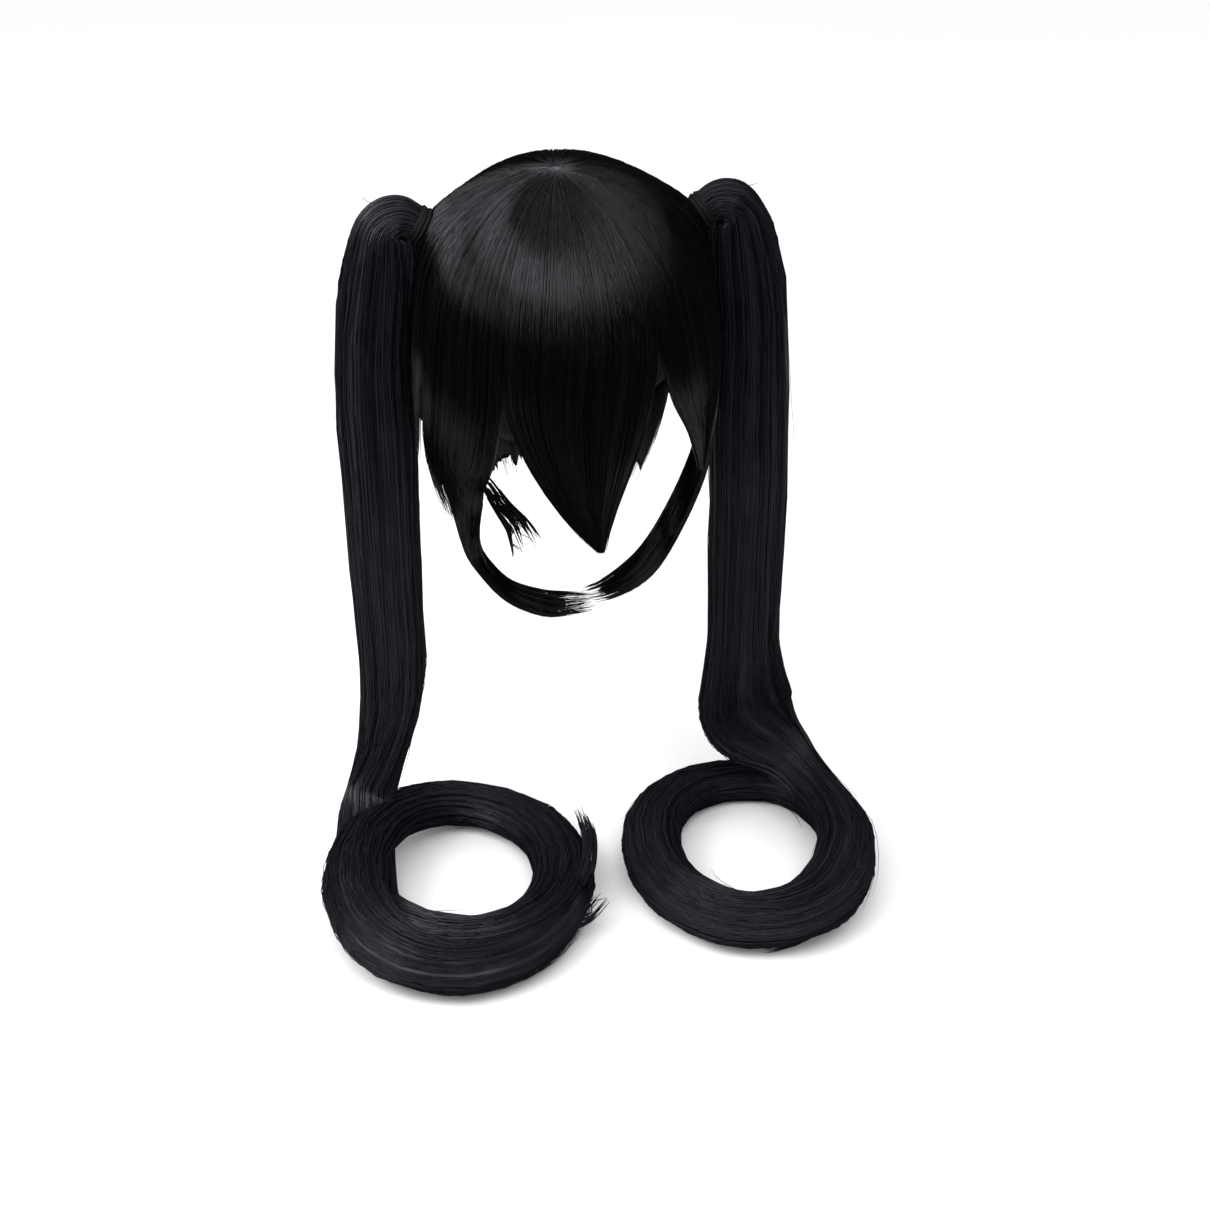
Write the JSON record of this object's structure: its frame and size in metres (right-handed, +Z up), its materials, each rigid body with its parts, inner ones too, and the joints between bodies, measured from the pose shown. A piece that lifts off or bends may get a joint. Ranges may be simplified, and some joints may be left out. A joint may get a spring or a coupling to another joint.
{
  "type": "wig",
  "caption": "Black straight-haired wig on a hollow net cap, with a pointed fringe, locks that curl in under the chin, and long tied tails whose ends lie coiled.",
  "frame": {"origin": "the place inside the cap that sits on the crown of the head", "axes": "+Z up, the face looks along -Y, +X is the wearer's left"},
  "size_m": [0.3219, 0.2822, 0.4137],
  "materials": {
    "hair": "smooth straight synthetic hair with a satin sheen",
    "cap": "matte black net with sewn rows",
    "tie": "wound black elastic"
  },
  "bodies": {
    "root": {"cap": "cap", "fringe": "hair", "temple_lock_right": "hair", "temple_lock_left": "hair", "side_hair_right": "hair", "side_hair_left": "hair", "back_hair": "hair", "jaw_curl_right": "hair", "jaw_curl_left": "hair", "tie_right": "tie", "tail_right": "hair", "tie_left": "tie", "tail_left": "hair"}
  },
  "joints": []
}
